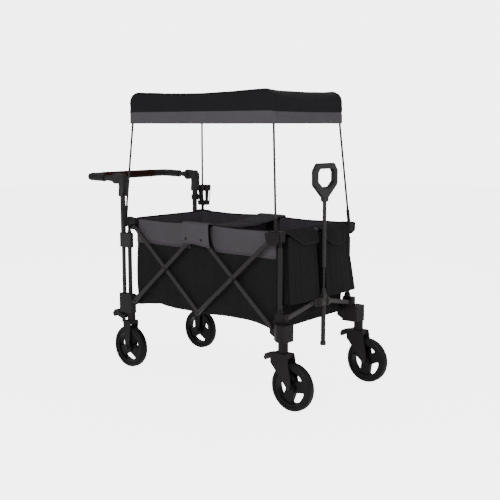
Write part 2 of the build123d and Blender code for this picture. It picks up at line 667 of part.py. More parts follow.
# ---- top corner brackets: cap on the post, sliding tube, bar lug and canopy pole socket ----
def pole_line(xs, sign=-1):
    return (
        (xs[0], sign * POLE_BASE_Y, POLE_BASE_Z + 30),
        (xs[1], sign * POLE_HEM_Y, CANOPY_Z0),
    )


def top_bracket(post_x, node_x, xs, guarded):
    inboard = 1 if node_x > post_x else -1
    base, hem = pole_line(xs)
    axis = Vector(*hem) - Vector(*base)
    low = on_line(base, hem, POLE_BASE_Z - 6)
    with BuildPart() as bracket:
        # Cap over the post
        with BuildSketch(level(post_x, -POST_Y - 3, CAP_Z0)):
            RectangleRounded(34, 36, 9)
        extrude(amount=CAP_Z1 - CAP_Z0)
        # Arm that runs over the bar's end to the tub corner
        with BuildSketch(along_y(0, 0, -ARM_Y1)) as arm:
            with BuildLine():
                Polyline(
                    (-post_x, CAP_Z0 + 3),
                    (-post_x, CAP_Z1),
                    (-(node_x + inboard * 4), CAP_Z1 - 2),
                    (-(node_x + inboard * 12), CAP_Z1 - 12),
                    (-(node_x + inboard * 12), TOP_Z + BAR_CLEAR),
                    (-(node_x - inboard * 14), TOP_Z + BAR_CLEAR),
                    (-(node_x - inboard * 18), CAP_Z0 + 3),
                    close=True,
                )
            make_face()
        extrude(amount=ARM_Y1 - ARM_Y0)
        if guarded:
            # Outer plate with a rounded lower edge that hides the bar's end
            with BuildSketch(along_y(0, 0, -GUARD_Y1)) as guard:
                with BuildLine():
                    Polyline(
                        (-(post_x + 16), CAP_Z1 - 2),
                        (-(post_x + 14), CAP_Z0 + 2),
                        (-(post_x - 4), CAP_Z0 - 14),
                        (-(node_x + 8), CAP_Z0 - 14),
                        (-(node_x - 10), CAP_Z0 + 4),
                        (-(node_x - 16), CAP_Z1 - 4),
                        close=True,
                    )
                make_face()
                fillet(guard.vertices(), 7.0)
            extrude(amount=GUARD_Y1 - GUARD_Y0)
            with BuildSketch(level((post_x + node_x) / 2 + 2, -(GUARD_Y0 + ARM_Y1) / 2, CAP_Z1 - 20)):
                Rectangle(post_x - node_x + 16, GUARD_Y0 - ARM_Y1 + 2)
            extrude(amount=16)
        with BuildSketch(level(post_x, -POST_Y, SLIDE_Z0)):
            Circle(SLIDE_R)
        extrude(amount=CAP_Z0 + 2 - SLIDE_Z0)
        with BuildSketch(along_y(0, 0, -LUG_Y1)):
            with Locations((-(post_x + node_x + inboard * LUG_R) / 2, TOP_Z + 2)):
                Rectangle(abs(node_x - post_x) + LUG_R, 34)
        extrude(amount=LUG_Y1 - LUG_Y0)
        with BuildSketch(Plane(origin=low, z_dir=axis)):
            Circle(POLE_R + 2.6)
        extrude(amount=(SOCKET_TOP_Z - low[2]) / axis.normalized().Z)
        with BuildSketch(Plane(origin=on_line(base, hem, POLE_BASE_Z - 1), z_dir=axis)):
            Circle(POLE_R + RUNNING_GAP)
        extrude(amount=120, mode=Mode.SUBTRACT)
        with BuildSketch(along_y(node_x, TOP_Z, -LUG_Y1 - 1)):
            Circle(PIN_R + RUNNING_GAP)
        extrude(amount=8, mode=Mode.SUBTRACT)
    return bracket.part


save_pair(top_bracket(FRONT_POST_X, NODE_X[2], POLE_FRONT_X, True), "front_top_bracket")
save_pair(top_bracket(REAR_POST_X, NODE_X[0], POLE_REAR_X, False), "rear_top_bracket")

# ---- canopy poles, leaning in from the sockets ----
for end, xs in (("front", POLE_FRONT_X), ("rear", POLE_REAR_X)):
    base, hem = pole_line(xs)
    axis = Vector(*hem) - Vector(*base)
    foot = on_line(base, hem, POLE_BASE_Z)
    with BuildPart() as poles:
        with BuildSketch(Plane(origin=foot, z_dir=axis)):
            Circle(POLE_R)
        extrude(amount=(POLE_TOP_Z - POLE_BASE_Z) / axis.normalized().Z)
        mirror(about=Plane.XZ)
    save(poles.part, f"{end}_poles")

# ---- canopy: fabric over two side hoops, open below, with upright sides and rounded ends ----
def canopy_block(inset):
    """Solid of the canopy's outline, drawn in by inset on the sides, ends and top."""
    with BuildPart() as block:
        with BuildSketch(along_y(0, 0, inset - CANOPY_Y)):
            with BuildLine():
                Polyline(
                    (-(CANOPY_X1 - inset), CANOPY_Z0 - inset),
                    (-(CANOPY_X1 - CANOPY_LEAN - inset), CANOPY_Z1 - inset),
                    (-(CANOPY_X0 + CANOPY_LEAN + inset), CANOPY_Z1 - inset),
                    (-(CANOPY_X0 + inset), CANOPY_Z0 - inset),
                    close=True,
                )
            face = make_face()
            fillet(face.vertices().sort_by(Axis.Y)[-2:], HOOP_R - inset)
        extrude(amount=2 * (CANOPY_Y - inset))
    return block.part


with BuildPart() as canopy:
    add(canopy_block(0.0))
    add(canopy_block(CANOPY_T), mode=Mode.SUBTRACT)
save(canopy.part, "canopy")

# ---- tub, divider and floor board ----
tub_mid, tub_l = (TUB_X0 + TUB_X1) / 2, TUB_X1 - TUB_X0
with BuildPart() as tub:
    with BuildSketch(level(tub_mid, 0, TUB_Z0)):
        RectangleRounded(tub_l, 2 * TUB_Y, 12)
    extrude(amount=TUB_Z1 - TUB_Z0)
    with BuildSketch(level(tub_mid, 0, TUB_Z0 + CLOTH_T)):
        RectangleRounded(tub_l - 2 * CLOTH_T, 2 * (TUB_Y - CLOTH_T), 8)
    extrude(amount=TUB_Z1, mode=Mode.SUBTRACT)
save(tub.part, "tub")

BOARD_T = 8.0
board_z = TUB_Z0 + CLOTH_T + 1
with BuildPart() as floor_board:
    with BuildSketch(level(tub_mid, 0, board_z)):
        RectangleRounded(tub_l - 24, 2 * TUB_Y - 24, 8)
    extrude(amount=BOARD_T)
save(floor_board.part, "floor_board")

with BuildPart() as divider:
    with BuildSketch(along_y(0, 0, -TUB_Y + CLOTH_T + 1)) as wall:
        with BuildLine():
            Polyline(
                (-14, TUB_Z1 - 4), (-2, TUB_Z1 - 4), (58, board_z + BOARD_T + 5),
                (46, board_z + BOARD_T + 5), close=True,
            )
        make_face()
    extrude(amount=2 * (TUB_Y - CLOTH_T - 1))
save(divider.part, "divider")

# ---- side flaps: fabric folded over the rim outside the middle joints ----
FLAP_X0, FLAP_X1 = -72.0, 78.0
FLAP_Y1 = 262.0
FLAP_Z0, FLAP_Z1 = 602.0, 692.0
with BuildPart() as side_flaps:
    with BuildSketch(level((FLAP_X0 + FLAP_X1) / 2, -FLAP_Y1, FLAP_Z0)):
        Rectangle(FLAP_X1 - FLAP_X0, CLOTH_T)
    extrude(amount=FLAP_Z1 - FLAP_Z0)
    with BuildSketch(level((FLAP_X0 + FLAP_X1) / 2, -(FLAP_Y1 + TUB_Y) / 2 + 1, FLAP_Z1)):
        Rectangle(FLAP_X1 - FLAP_X0, FLAP_Y1 - TUB_Y + 6)
    extrude(amount=CLOTH_T)
    mirror(about=Plane.XZ)
save(side_flaps.part, "side_flaps")

# ---- front pockets beside the pull handle ----
POCKET_Y0, POCKET_Y1 = 20.0, 205.0
POCKET_X0, POCKET_X1 = TUB_X1 + 1, 462.0
POCKET_Z0, POCKET_Z1 = 408.0, 660.0
POCKET_T = 3.0
with BuildPart() as pocket:
    pocket_x, pocket_y = (POCKET_X0 + POCKET_X1) / 2, (POCKET_Y0 + POCKET_Y1) / 2
    with BuildSketch(level(pocket_x, -pocket_y, POCKET_Z0)):
        Rectangle(POCKET_X1 - POCKET_X0, POCKET_Y1 - POCKET_Y0)
    extrude(amount=POCKET_Z1 - POCKET_Z0)
    with BuildSketch(level(pocket_x, -pocket_y, POCKET_Z0 + POCKET_T)):
        Rectangle(POCKET_X1 - POCKET_X0 - 2 * POCKET_T, POCKET_Y1 - POCKET_Y0 - 2 * POCKET_T)
    extrude(amount=POCKET_Z1 - POCKET_Z0 - POCKET_T, mode=Mode.SUBTRACT)
    fillet(pocket.edges().filter_by(Axis.Z).sort_by(Axis.X)[-2:], 8.0)
save_pair(pocket.part, "pocket")

# ---- pull handle: hinged sleeve, two sliding stages, ring grip and its button ----
SLEEVE_Z0, SLEEVE_Z1 = 204.0, 428.0
COLLAR_H = 14.0  # foot and top collars of the sleeve
with BuildPart() as pull_sleeve:
    with BuildSketch(level(PULL_X, 0, SLEEVE_Z0)):
        Circle(SLEEVE_R)
    extrude(amount=SLEEVE_Z1 - SLEEVE_Z0)
    with BuildSketch(level(PULL_X, 0, SLEEVE_Z0)):
        Circle(SLEEVE_R + 3)
    extrude(amount=COLLAR_H)
    with BuildSketch(level(PULL_X, 0, SLEEVE_Z1 - COLLAR_H)):
        Circle(SLEEVE_R + 1.5)
    extrude(amount=COLLAR_H)
    with BuildSketch(level(PULL_X, 0, PULL_Z - 16)):
        RectangleRounded(22, 26, 4)
    extrude(amount=46)
    with BuildSketch(along_y(PULL_X, PULL_Z, -21)):
        Circle(PULL_PIN_R)
    extrude(amount=42)
    with BuildSketch(level(PULL_X, 0, SLEEVE_Z0 + 10)):
        Circle(SLEEVE_BORE)
    extrude(amount=SLEEVE_Z1, mode=Mode.SUBTRACT)
save(pull_sleeve.part, "pull_sleeve")

MID_Z0, MID_Z1 = 216.0, 439.0
with BuildPart() as pull_mid:
    with BuildSketch(level(PULL_X, 0, MID_Z0)):
        Circle(MID_R)
    extrude(amount=MID_Z1 - MID_Z0)
    with BuildSketch(level(PULL_X, 0, MID_Z1 - 10)):
        Circle(MID_R + 1.6)
    extrude(amount=10)
    with BuildSketch(level(PULL_X, 0, MID_Z0)):
        Circle(MID_BORE)
    extrude(amount=MID_Z1, mode=Mode.SUBTRACT)
save(pull_mid.part, "pull_mid")

ROD_Z0, ROD_Z1 = 286.0, 790.0
COVER_Z0, COVER_R = 526.0, 8.0  # the rod is bare below its cover
with BuildPart() as pull_rod:
    with BuildSketch(level(PULL_X, 0, ROD_Z0)):
        Circle(ROD_R)
    extrude(amount=ROD_Z1 - ROD_Z0)
    with BuildSketch(level(PULL_X, 0, COVER_Z0)):
        Circle(COVER_R)
    extrude(amount=ROD_Z1 - COVER_Z0)
save(pull_rod.part, "pull_rod")

RING_Z = (790.0, 806.0, 858.0, 915.0, 945.0)
with BuildPart() as pull_grip:
    with BuildSketch(Plane(origin=(PULL_X - 11, 0, 0), x_dir=(0, 1, 0), z_dir=(1, 0, 0))) as ring:
        with BuildLine():
            Polyline(
                (-13, RING_Z[0]), (-16, RING_Z[1]), (-77, RING_Z[2]), (-78, RING_Z[3]),
                (-56, RING_Z[4]), (56, RING_Z[4]), (78, RING_Z[3]), (77, RING_Z[2]),
                (16, RING_Z[1]), (13, RING_Z[0]), close=True,
            )
        make_face()
        fillet(ring.vertices().filter_by_position(Axis.Y, RING_Z[2] - 1, RING_Z[4] + 1), 14.0)
        with BuildLine():
            Polyline(
                (-22, 845), (-56, 872), (-56, 908), (-44, 922),
                (44, 922), (56, 908), (56, 872), (22, 845), close=True,
            )
        make_face(mode=Mode.SUBTRACT)
    extrude(amount=22)
    fillet(pull_grip.faces().sort_by(Axis.X)[-1].outer_wire().edges(), 5.0)
    fillet(pull_grip.faces().sort_by(Axis.X)[0].outer_wire().edges(), 5.0)
    with BuildSketch(level(PULL_X, 0, RING_Z[0] - 1)):
        Circle(COVER_R)
    extrude(amount=1, mode=Mode.SUBTRACT)
    with BuildSketch(level(PULL_X, 0, 836)):
        Rectangle(13, 25)
    extrude(amount=12, mode=Mode.SUBTRACT)
save(pull_grip.part, "pull_grip")

with BuildPart() as pull_button:
    with BuildSketch(level(PULL_X, 0, 840)):
        RectangleRounded(12, 24, 3)
    extrude(amount=10)
save(pull_button.part, "pull_button")
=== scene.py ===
"""Looks of the folding pull wagon: sewn cloth, finishes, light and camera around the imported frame."""
import json
from math import ceil, cos, pi, radians, sin, sqrt

import bmesh
import bpy
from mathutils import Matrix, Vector, kdtree, noise


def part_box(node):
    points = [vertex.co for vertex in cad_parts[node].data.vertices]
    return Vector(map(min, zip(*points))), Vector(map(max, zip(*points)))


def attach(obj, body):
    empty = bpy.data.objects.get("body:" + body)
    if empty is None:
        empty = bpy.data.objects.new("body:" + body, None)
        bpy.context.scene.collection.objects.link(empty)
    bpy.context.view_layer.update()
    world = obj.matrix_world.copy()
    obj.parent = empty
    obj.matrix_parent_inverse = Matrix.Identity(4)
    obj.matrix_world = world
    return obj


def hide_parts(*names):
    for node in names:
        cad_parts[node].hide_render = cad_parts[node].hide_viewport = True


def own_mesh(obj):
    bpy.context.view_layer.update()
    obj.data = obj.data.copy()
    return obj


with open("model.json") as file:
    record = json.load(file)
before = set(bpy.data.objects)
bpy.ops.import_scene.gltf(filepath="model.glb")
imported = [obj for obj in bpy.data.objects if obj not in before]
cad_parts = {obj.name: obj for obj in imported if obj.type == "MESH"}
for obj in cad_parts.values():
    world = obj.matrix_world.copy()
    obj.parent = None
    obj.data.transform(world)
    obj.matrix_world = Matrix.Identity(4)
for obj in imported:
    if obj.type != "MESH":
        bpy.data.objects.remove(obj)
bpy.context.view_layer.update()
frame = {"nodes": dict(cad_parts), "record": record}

tub_low, tub_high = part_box("tub")

# Layout coordinates are measured from the middle of the scissor frame; SHIFT takes them to the
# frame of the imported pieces
TUB_BACK = 0.408
SHIFT = Vector((tub_low.x + TUB_BACK, (tub_low.y + tub_high.y) / 2, 0))

DECAY = 2.718  # base of the curves that fade out smoothly


# ---- node materials ----
class Finish:
    """A node material built up from small parts, in metres of the object's own space."""

    def __init__(self, name, **constants):
        self.material = bpy.data.materials.new(name)
        self.material.use_nodes = True
        self.tree = self.material.node_tree
        self.surface = self.tree.nodes["Principled BSDF"]
        for socket, value in constants.items():
            self.surface.inputs[socket.replace("_", " ")].default_value = value
        self.place = self.tree.nodes.new("ShaderNodeTexCoord").outputs["Object"]
        self.normal = None

    def node(self, kind, inputs=(), **settings):
        made = self.tree.nodes.new(kind)
        for key, value in settings.items():
            setattr(made, key, value)
        for key, value in dict(inputs).items():
            if isinstance(value, bpy.types.NodeSocket):
                self.tree.links.new(value, made.inputs[key])
            else:
                made.inputs[key].default_value = value
        return made

    def sum(self, op, a, b=0.0, c=0.0):
        return self.node("ShaderNodeMath", {0: a, 1: b, 2: c}, operation=op).outputs[0]

    def along(self, direction):
        """Distance of a point along a direction."""
        made = self.node("ShaderNodeVectorMath", {0: self.place, 1: direction}, operation="DOT_PRODUCT")
        return made.outputs["Value"]

    def noise(self, scale, detail=3.0, rough=0.55, stretch=(1, 1, 1)):
        place = self.node("ShaderNodeMapping", {"Vector": self.place, "Scale": stretch}).outputs[0]
        settings = {"Vector": place, "Scale": scale, "Detail": detail, "Roughness": rough}
        return self.node("ShaderNodeTexNoise", settings).outputs["Fac"]

    def cells(self, scale):
        return self.node("ShaderNodeTexVoronoi", {"Vector": self.place, "Scale": scale}).outputs["Distance"]

    def weave(self, pitch):
        """Height of a plain weave, crossing whichever way the cloth faces."""
        turns = 2 * pi / pitch
        warp = self.sum("SINE", self.sum("MULTIPLY", self.along((1, 1, 0)), turns))
        weft = self.sum("SINE", self.sum("MULTIPLY", self.along((0.5, -0.5, 1)), turns))
        return self.sum("MULTIPLY_ADD", self.sum("MULTIPLY", warp, weft), 0.5, 0.5)

    def between(self, factor, low, high):
        """Spread of a factor in 0..1 over low..high."""
        inputs = {"Value": factor, "To Min": low, "To Max": high}
        return self.node("ShaderNodeMapRange", inputs).outputs["Result"]

    def band(self, factor, start, end):
        """0 below start, 1 above end."""
        inputs = {"Value": factor, "From Min": start, "From Max": end}
        return self.node("ShaderNodeMapRange", inputs, interpolation_type="SMOOTHSTEP").outputs["Result"]

    def blend(self, factor, dark, light):
        made = self.node("ShaderNodeMix", data_type="RGBA")
        for socket, value in zip((0, 6, 7), (factor, dark, light)):
            if isinstance(value, bpy.types.NodeSocket):
                self.tree.links.new(value, made.inputs[socket])
            else:
                made.inputs[socket].default_value = value if socket == 0 else (*value, 1)
        return made.outputs[2]

    def edge(self):
        """1 on a worn outer edge, 0 elsewhere."""
        pointed = self.node("ShaderNodeNewGeometry").outputs["Pointiness"]
        return self.band(pointed, 0.52, 0.6)

    def bump(self, height, distance, strength):
        inputs = {"Height": height, "Distance": distance, "Strength": strength}
        if self.normal:
            inputs["Normal"] = self.normal
        self.normal = self.node("ShaderNodeBump", inputs).outputs["Normal"]

    def done(self, colour, roughness):
        for value, socket in ((colour, "Base Color"), (roughness, "Roughness"), (self.normal, "Normal")):
            if value is not None:
                self.tree.links.new(value, self.surface.inputs[socket])
        return self.material


def woven(name, dark, light, pitch=0.0011, crease=0.0012):
    """Coated polyester: fine weave, soft broad shading, small creases."""
    cloth = Finish(name, Sheen_Weight=0.02, Sheen_Roughness=0.45, Specular_IOR_Level=0.08)
    weave = cloth.weave(pitch)
    patch = cloth.noise(9.0, 4.0)
    grain = cloth.noise(420.0, 2.0)
    shade = cloth.sum("MULTIPLY_ADD", weave, 0.25, cloth.sum("MULTIPLY", patch, 0.5))
    shade = cloth.sum("MULTIPLY_ADD", grain, 0.25, shade)
    colour = cloth.blend(shade, dark, light)
    cloth.bump(cloth.noise(14.0, 5.0, 0.6, (1, 1, 0.55)), 6 * crease, 0.35)
    cloth.bump(cloth.noise(60.0, 4.0, 0.6), crease, 0.3)
    cloth.bump(weave, 0.00018, 0.6)
    return cloth.done(colour, cloth.between(patch, 0.66, 0.84))


def moulded(name, dark, light, rough=(0.42, 0.56), grain=900.0):
    """Injection-moulded plastic: fine spark grain, faint flow marks, paler rubbed edges."""
    skin = Finish(name, Specular_IOR_Level=0.14)
    flow = skin.noise(22.0, 3.0, 0.5, (1, 1, 0.4))
    colour = skin.blend(flow, dark, light)
    worn = tuple(min(1.0, 2.1 * part + 0.01) for part in light)
    colour = skin.blend(skin.sum("MULTIPLY", skin.edge(), 0.5), colour, worn)
    skin.bump(skin.cells(grain), 0.00012, 0.5)
    return skin.done(colour, skin.between(flow, *rough))


def painted(name, dark, light):
    """Powder-coated tube: orange-peel surface with small scuffs."""
    coat = Finish(name, Metallic=0.15, Specular_IOR_Level=0.2)
    peel = coat.noise(700.0, 2.0, 0.5)
    cloud = coat.noise(16.0, 4.0)
    scuff = coat.band(coat.noise(120.0, 5.0, 0.7, (1, 1, 0.2)), 0.62, 0.78)
    colour = coat.blend(cloud, dark, light)
    worn = tuple(min(1.0, 1.7 * part + 0.01) for part in light)
    colour = coat.blend(coat.sum("MULTIPLY", coat.edge(), 0.6), colour, worn)
    coat.bump(peel, 0.00006, 0.5)
    return coat.done(colour, coat.sum("MULTIPLY_ADD", scuff, 0.12, coat.between(cloud, 0.32, 0.46)))


def leather(name):
    """Synthetic leather: pebbled grain, darker in its valleys."""
    hide = Finish(name, Specular_IOR_Level=0.06, Coat_Weight=0.01, Coat_Roughness=0.4)
    pebble = hide.cells(330.0)
    cloud = hide.noise(30.0, 4.0)
    deep = hide.blend(cloud, (0.0065, 0.0010, 0.0006), (0.015, 0.0026, 0.0016))
    colour = hide.blend(pebble, deep, (0.022, 0.0042, 0.0026))
    hide.bump(pebble, 0.0006, 0.6)
    return hide.done(colour, hide.between(cloud, 0.42, 0.58))


BLACK_CLOTH = woven("black_cloth", (0.0065, 0.0065, 0.0068), (0.0145, 0.0145, 0.015))
GREY_CLOTH = woven("grey_cloth", (0.050, 0.044, 0.051), (0.088, 0.079, 0.090))
LINING = woven("lining_cloth", (0.040, 0.034, 0.042), (0.066, 0.058, 0.070), crease=0.002)
# A darker copy of the lining, with painted shade in its colour, for the part of the cover that lies in shade
# inside the tub
PAINTED_SHADE_LINING = woven("painted_shade_lining", (0.018, 0.0155, 0.0185), (0.034, 0.030, 0.035), crease=0.002)
CANOPY_BLACK = woven("canopy_black", (0.0075, 0.0070, 0.0080), (0.0165, 0.0150, 0.0175), crease=0.002)
CANOPY_GREY = woven("canopy_grey", (0.056, 0.050, 0.058), (0.092, 0.084, 0.095), crease=0.001)
BINDING = woven("binding_tape", (0.008, 0.0075, 0.008), (0.018, 0.017, 0.018), pitch=0.0008)
POCKET_BINDING = woven("pocket_binding", (0.016, 0.015, 0.016), (0.030, 0.028, 0.030), pitch=0.0008)
THREAD = woven("thread", (0.022, 0.020, 0.022), (0.05, 0.046, 0.05), pitch=0.0004)
FRAME_PAINT = painted("frame_paint", (0.020, 0.0175, 0.0178), (0.034, 0.030, 0.030))
BRACKET = moulded("bracket_plastic", (0.0085, 0.0070, 0.0070), (0.0165, 0.0138, 0.0138))
WHEEL = moulded("wheel_plastic", (0.0035, 0.0035, 0.0037), (0.0075, 0.0075, 0.008), rough=(0.3, 0.42))
SOFT_GRIP = moulded("grip_plastic", (0.0055, 0.0055, 0.0055), (0.011, 0.0105, 0.011), rough=(0.5, 0.62))
TYRE = moulded("tyre_rubber", (0.0045, 0.0045, 0.0045), (0.0095, 0.0095, 0.0095), (0.36, 0.5), 500.0)
BROWN_GRIP = leather("brown_leather")
BRACE_PAINT = painted("brace_paint", (0.032, 0.028, 0.028), (0.055, 0.048, 0.048))
RING_GRIP = moulded("ring_grip", (0.022, 0.021, 0.0215), (0.042, 0.040, 0.041), rough=(0.34, 0.46))
POST_PAINT = painted("post_paint", (0.012, 0.0105, 0.0105), (0.021, 0.0185, 0.0185))
HANDLE = moulded("handle_plastic", (0.019, 0.0175, 0.0175), (0.034, 0.032, 0.032))
CORNER_GRIP = moulded("corner_grip", (0.012, 0.0115, 0.0115), (0.021, 0.020, 0.020), rough=(0.5, 0.62))
REAR_BRACKET = moulded("rear_bracket", (0.013, 0.0118, 0.0118), (0.024, 0.022, 0.022))
DARK_BRACKET = moulded("dark_bracket", (0.0045, 0.0042, 0.0042), (0.0095, 0.009, 0.009), rough=(0.5, 0.62))

SLOT_FINISH = {
    "frame_metal": FRAME_PAINT, "bracket_plastic": BRACKET, "wheel_plastic": WHEEL,
    "tyre_rubber": TYRE, "black_fabric": BLACK_CLOTH, "grey_fabric": GREY_CLOTH,
    "canopy_fabric": CANOPY_BLACK, "lining_fabric": LINING, "brown_grip": BROWN_GRIP,
    "grip_plastic": SOFT_GRIP,
}
# Pieces whose finish differs from that of their slot
NODE_FINISH = {
    "pull_grip": RING_GRIP, "front_brace": BRACE_PAINT, "rear_brace": BRACE_PAINT,
    "front_posts": POST_PAINT, "rear_posts": POST_PAINT,
    "rear_top_bracket_near": DARK_BRACKET, "rear_top_bracket_far": DARK_BRACKET,
    "push_upright_near": HANDLE, "push_upright_far": HANDLE, "push_hubs": HANDLE,
    "push_corners": CORNER_GRIP, "rear_collars": HANDLE,
    "rear_bracket_near": REAR_BRACKET, "rear_bracket_far": REAR_BRACKET,
}


# ---- mesh helpers ----
def add_piece(name, bm, body, slot, *finishes):
    """Turn a mesh in layout coordinates into a smooth piece that rides on a body."""
    bmesh.ops.recalc_face_normals(bm, faces=bm.faces)
    bmesh.ops.translate(bm, verts=bm.verts, vec=SHIFT)
    mesh = bpy.data.meshes.new(name)
    bm.to_mesh(mesh)
    bm.free()
    mesh.shade_smooth()
    for finish in finishes:
        mesh.materials.append(finish)
    made = bpy.data.objects.new(name, mesh)
    bpy.context.scene.collection.objects.link(made)
    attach(made, body)
    return made


def modify(obj, kind, **settings):
    made = obj.modifiers.new(kind.lower(), kind)
    for key, value in settings.items():
        setattr(made, key, value)
    return made


def apply_modifiers(obj):
    """Keep the shape that the modifiers make, and drop them."""
    seen = obj.evaluated_get(bpy.context.evaluated_depsgraph_get())
    mesh = bpy.data.meshes.new_from_object(seen)
    obj.modifiers.clear()
    obj.data = mesh


def cloth_piece(obj, thickness, offset=0.0, lining=0):
    """Give a single layer of faces its thickness and soft edges; lining is the inner layer's finish."""
    layers = {"material_offset": lining, "material_offset_rim": lining}
    modify(obj, "SOLIDIFY", thickness=thickness, offset=offset, **layers)
    modify(obj, "SUBSURF", levels=1, render_levels=1)
    apply_modifiers(obj)
    obj.data.shade_smooth()


def net(rows, ring=False):
    """Quads through equal rows of points."""
    bm = bmesh.new()
    made = [[bm.verts.new(point) for point in row] for row in rows]
    count = len(rows[0])
    for low, high in zip(made, made[1:]):
        for i in range(count if ring else count - 1):
            j = (i + 1) % count
            bm.faces.new((low[i], low[j], high[j], high[i]))
    return bm


def steps(start, end, count):
    return [start + (end - start) * i / count for i in range(count + 1)]


def pipe_rows(path, radius, sides=8, flat=1.0):
    """Rings of points round a path, turned as little as possible from one to the next."""
    path = [Vector(point) for point in path]
    rows, side = [], None
    for i, here in enumerate(path):
        ahead = (path[min(i + 1, len(path) - 1)] - path[max(i - 1, 0)]).normalized()
        if side is None:
            guide = Vector((0, 0, 1)) if abs(ahead.z) < 0.9 else Vector((1, 0, 0))
            side = ahead.cross(guide).normalized()
        side = (side - ahead * side.dot(ahead)).normalized()
        up = ahead.cross(side)
        ring = [2 * pi * k / sides for k in range(sides)]
        rows.append([here + radius * (side * cos(a) * flat + up * sin(a)) for a in ring])
    return rows


def pipe(path, radius, sides=8):
    bm = net(pipe_rows(path, radius, sides), ring=True)
    for end in (bm.verts[:sides], bm.verts[-sides:]):
        bm.faces.new(end)
    return bm


def join(into, other):
    """Add one mesh to another and free it."""
    spare = bpy.data.meshes.new("spare")
    other.to_mesh(spare)
    other.free()
    into.from_mesh(spare)
    bpy.data.meshes.remove(spare)


def walk(path, gap):
    """Points at equal gaps along a line of points, each with the direction there."""
    found, left = [], 0.0
    for a, b in zip(path, path[1:]):
        a, b = Vector(a), Vector(b)
        span = (b - a).length
        while left <= span and span > 0:
            found.append((a.lerp(b, left / span), (b - a).normalized()))
            left += gap
        left -= span
    return found


def stitch_line(path, length=0.0036, gap=0.0052, radius=0.0005):
    """A row of thread dashes along a line."""
    bm = bmesh.new()
    for here, ahead in walk(path, gap):
        half = ahead * length / 2
        join(bm, pipe((here - half, here, here + half), radius, 4))
    return bm


def soft_noise(point, scale, seed=0.0):
    """Smooth noise in -1..1."""
    return noise.noise(Vector(point) * scale + Vector((seed, 2.3 * seed, -seed)))


def let_settle(obj, pinned, slack, limit, bend, frames=20, pull=1.0):
    """Let a cloth with a little spare length hang from its pinned points, moving limit at most."""
    start = [v.co.copy() for v in obj.data.vertices]
    group = obj.vertex_groups.new(name="held")
    group.add([v.index for v in obj.data.vertices if pinned(v.co - SHIFT)], 1.0, "REPLACE")
    cloth = modify(obj, "CLOTH")
    cloth.settings.quality = 6
    cloth.settings.mass = 0.25
    cloth.settings.tension_stiffness = 25
    cloth.settings.compression_stiffness = 20
    cloth.settings.shear_stiffness = 8
    cloth.settings.bending_stiffness = bend
    cloth.settings.shrink_min = -slack
    cloth.settings.vertex_group_mass = "held"
    cloth.settings.effector_weights.gravity = pull
    cloth.collision_settings.use_collision = False
    cloth.point_cache.frame_start = 1
    cloth.point_cache.frame_end = frames
    scene = bpy.context.scene
    for number in range(1, frames + 1):
        scene.frame_set(number)
    seen = obj.evaluated_get(bpy.context.evaluated_depsgraph_get())
    ends = [v.co.copy() for v in seen.data.vertices]
    obj.modifiers.remove(cloth)
    scene.frame_set(1)
    for vertex, a, b in zip(obj.data.vertices, start, ends):
        move = b - a
        size = move.length
        vertex.co = a + move * (limit * (1 - DECAY ** (-size / limit)) / size if size > 1e-7 else 1)
    obj.vertex_groups.clear()


def squash_with_fold(obj):
    """Give the piece a copy of its mesh that it shares with nothing else."""
    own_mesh(obj)


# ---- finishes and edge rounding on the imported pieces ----
slots = {part["node"]: part["material_slot"] for part in frame["record"]["subparts"]}
for name, part in frame["nodes"].items():
    part.data.materials.clear()
    part.data.materials.append(NODE_FINISH.get(name, SLOT_FINISH[slots[name]]))
    part.data.shade_smooth()
    modify(part, "WELD", merge_threshold=0.00002)
    modify(part, "BEVEL", width=0.0007, segments=2, limit_method="ANGLE", angle_limit=radians(40))
    modify(part, "WEIGHTED_NORMAL", keep_sharp=True)

# ---- tub shell: black body with a grey lining, hung from the rim ----
TUB_X0, TUB_X1, TUB_Y, TUB_R = -0.402, 0.416, 0.2235, 0.022
BOTTOM, RIM, BAND = 0.309, 0.686, 0.578
side_run = TUB_X1 - TUB_X0 - 2 * TUB_R
end_run = 2 * (TUB_Y - TUB_R)
arc_run = TUB_R * pi / 2
perimeter = 2 * (side_run + end_run + 2 * arc_run)
WALL_ROWS = 38
COLUMN_GAP = 0.0115  # about the width of a square in the wall's mesh
TUCKS = ((-0.19, 0.008), (-0.085, 0.006), (0.23, 0.007))  # place and width of each upright tuck


def around(p):
    """Place and outward direction on the rim at p metres from the near rear corner."""
    p %= perimeter
    x0, x1, y = TUB_X0 + TUB_R, TUB_X1 - TUB_R, TUB_Y - TUB_R
    runs = (
        (side_run, (x0, -y), (1, 0), -90), (end_run, (x1, -y), (0, 1), 0),
        (side_run, (x1, y), (-1, 0), 90), (end_run, (x0, y), (0, -1), 180),
    )
    for run, (cx, cy), (dx, dy), facing in runs:
        if p <= run:
            out = (cos(radians(facing)), sin(radians(facing)))
            return (cx + dx * p + out[0] * TUB_R, cy + dy * p + out[1] * TUB_R), out
        p -= run
        if p <= arc_run:
            turned = radians(facing) + p / TUB_R
            out = (cos(turned), sin(turned))
            ex, ey = cx + dx * run, cy + dy * run
            return (ex + out[0] * TUB_R, ey + out[1] * TUB_R), out
        p -= arc_run
    return around(0.0)


def near_p(x):
    return x - TUB_X0 - TUB_R


def front_p(y):
    return side_run + arc_run + y + TUB_Y - TUB_R


def far_p(x):
    return side_run + 2 * arc_run + end_run + TUB_X1 - TUB_R - x


def rear_p(y):
    return 2 * side_run + 3 * arc_run + end_run + TUB_Y - TUB_R - y


def bump_at(value, centre, width):
    """A smooth hump of height 1."""
    return DECAY ** (-(((value - centre) / width) ** 2))


def rim_height(x):
    middle = bump_at(x, 0.0, 0.09)
    return RIM - 0.003 + 0.004 * middle - 0.003 * bump_at(x, 0.22, 0.1) - 0.003 * bump_at(x, -0.22, 0.1)


